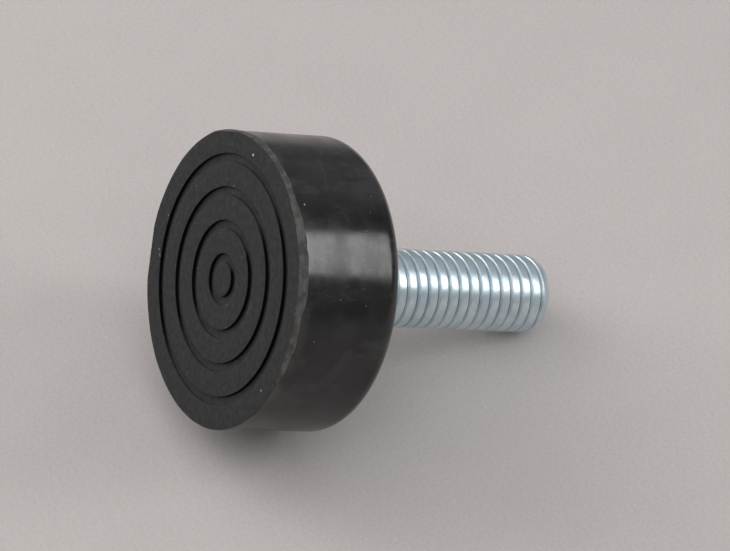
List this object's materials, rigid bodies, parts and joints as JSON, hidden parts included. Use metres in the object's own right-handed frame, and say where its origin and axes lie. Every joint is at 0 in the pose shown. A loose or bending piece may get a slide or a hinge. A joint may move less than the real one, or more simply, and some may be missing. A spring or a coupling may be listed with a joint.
{
  "type": "rubber buffer",
  "caption": "Round rubber buffer with ring grooves in its face and a threaded stud standing out of its back, for use as a stop or a foot.",
  "frame": {"origin": "centre of the grooved face of the rubber pad, which the part stands on", "axes": "+Z along the stud, from the grooved face towards the stud's tip; -Y towards the side where the rubber edge was trimmed by hand"},
  "size_m": [0.03, 0.0298, 0.037],
  "materials": {
    "black_rubber": "black moulded rubber, matt face and half-gloss side",
    "plate_steel": "zinc plated, rolled",
    "zinc_stud": "bright zinc plated with a bluish tint, rolled thread"
  },
  "bodies": {
    "root": {"rubber_pad": "black_rubber", "back_plate": "plate_steel", "threaded_stud": "zinc_stud"}
  },
  "joints": []
}
